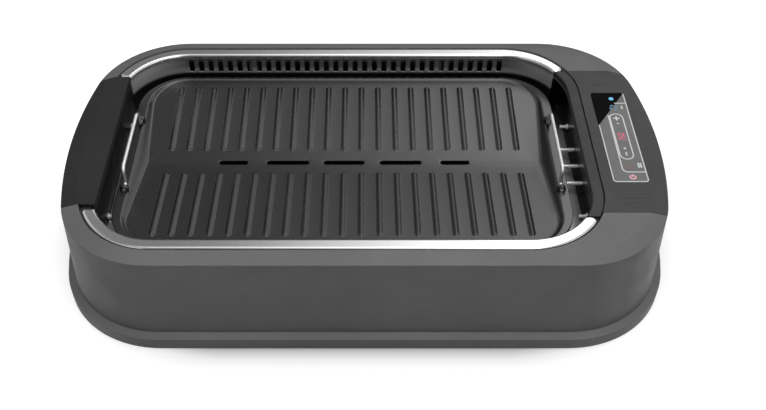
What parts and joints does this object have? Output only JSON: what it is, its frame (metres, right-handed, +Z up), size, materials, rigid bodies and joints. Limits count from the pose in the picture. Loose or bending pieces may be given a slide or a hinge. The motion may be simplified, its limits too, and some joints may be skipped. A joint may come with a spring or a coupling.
{
  "type": "smokeless indoor grill",
  "caption": "Electric countertop grill with a ribbed lift-off plate and folding wire bails, over a heating element, drip tray and extraction fan, with a touch control panel at one end.",
  "frame": {"origin": "centre of the footprint, on the surface that the feet stand on", "axes": "+X to the control panel end, +Y to the back, +Z up"},
  "size_m": [0.5338, 0.3108, 0.097],
  "materials": {
    "housing_plastic": "fine matt grey",
    "left_panel_plastic": "matt black",
    "right_panel_plastic": "satin charcoal",
    "bezel_plastic": "satin charcoal",
    "bright_trim": "bright satin steel",
    "black_sheet": "satin black",
    "black_plastic": "satin black",
    "stud_steel": "polished",
    "nonstick": "satin non-stick coating",
    "bail_wire": "polished",
    "label_film": "gloss film with white print",
    "board_laminate": "green laminate",
    "display_red": "red lit display",
    "lamp_blue": "blue lit lamp",
    "tub_sheet": "aluminised sheet",
    "tray_sheet": "dark non-stick",
    "heater_steel": "heat-darkened steel",
    "zinc_steel": "zinc plated",
    "ceramic": "white ceramic",
    "foot_rubber": "matt black",
    "fan_plastic": "matt black",
    "bush_brass": "plain",
    "core_steel": "varnished laminations",
    "can_aluminium": "plain",
    "fuse_glass": "clear",
    "lead_cover": "heat-proof sleeve",
    "relay_case": "moulded case"
  },
  "bodies": {
    "base": {"outer_housing": "housing_plastic", "base_pan": "housing_plastic", "rubber_feet": "foot_rubber", "base_screws": "zinc_steel", "bezel_ring": "bezel_plastic", "front_rail": "bright_trim", "rear_rail": "bright_trim", "front_liner": "black_sheet", "rear_liner": "black_sheet", "left_side_wall": "black_plastic", "right_side_wall": "black_plastic", "support_studs": "stud_steel", "contact_pins": "stud_steel", "terminal_socket": "ceramic", "left_handle_panel": "left_panel_plastic", "right_control_panel": "right_panel_plastic", "left_grip_cup": "black_plastic", "right_grip_cup": "black_plastic", "control_label": "label_film", "touch_board": "board_laminate", "led_display": "display_red", "indicator_lamps": "lamp_blue", "board_screws": "zinc_steel", "heat_tub": "tub_sheet", "fan_casing": "fan_plastic", "fan_motor": "zinc_steel", "motor_bush": "bush_brass", "power_board": "board_laminate", "relay": "relay_case", "transformer": "core_steel", "capacitors": "can_aluminium", "fuse": "fuse_glass", "ribbon_lead": "lead_cover", "heater_leads": "lead_cover", "fan_lead": "lead_cover", "power_inlet": "black_plastic", "inlet_blades": "bush_brass", "supply_leads": "lead_cover"},
    "tray": {"drip_tray": "tray_sheet"},
    "heater": {"heating_tube": "heater_steel", "heater_terminal_block": "ceramic", "temperature_probe": "stud_steel", "heater_brackets": "zinc_steel"},
    "plate": {"grill_plate": "nonstick"},
    "left_bail_wire": {"left_bail": "bail_wire"},
    "right_bail_wire": {"right_bail": "bail_wire"},
    "fan": {"fan_impeller": "fan_plastic", "fan_shaft": "zinc_steel"}
  },
  "joints": [
    {"name": "tray_lift", "type": "slide", "parent": "base", "child": "tray", "axis": [0, 0, 1], "range_m": [0, 0.1]},
    {"name": "heater_lift", "type": "slide", "parent": "tray", "child": "heater", "axis": [0, 0, 1], "range_m": [0, 0.08]},
    {"name": "plate_lift", "type": "slide", "parent": "heater", "child": "plate", "axis": [0, 0, 1], "range_m": [0, 0.08]},
    {"name": "left_bail_fold", "type": "hinge", "parent": "plate", "child": "left_bail_wire", "pos_m": [-0.2048, 0, 0.0792], "axis": [0, 1, 0], "range_deg": [0, 90]},
    {"name": "right_bail_fold", "type": "hinge", "parent": "plate", "child": "right_bail_wire", "pos_m": [0.1678, 0, 0.0792], "axis": [0, -1, 0], "range_deg": [0, 90]},
    {"name": "fan_spin", "type": "hinge", "parent": "base", "child": "fan", "pos_m": [-0.0185, 0.01, 0.015], "axis": [0, 0, 1], "continuous": true}
  ]
}
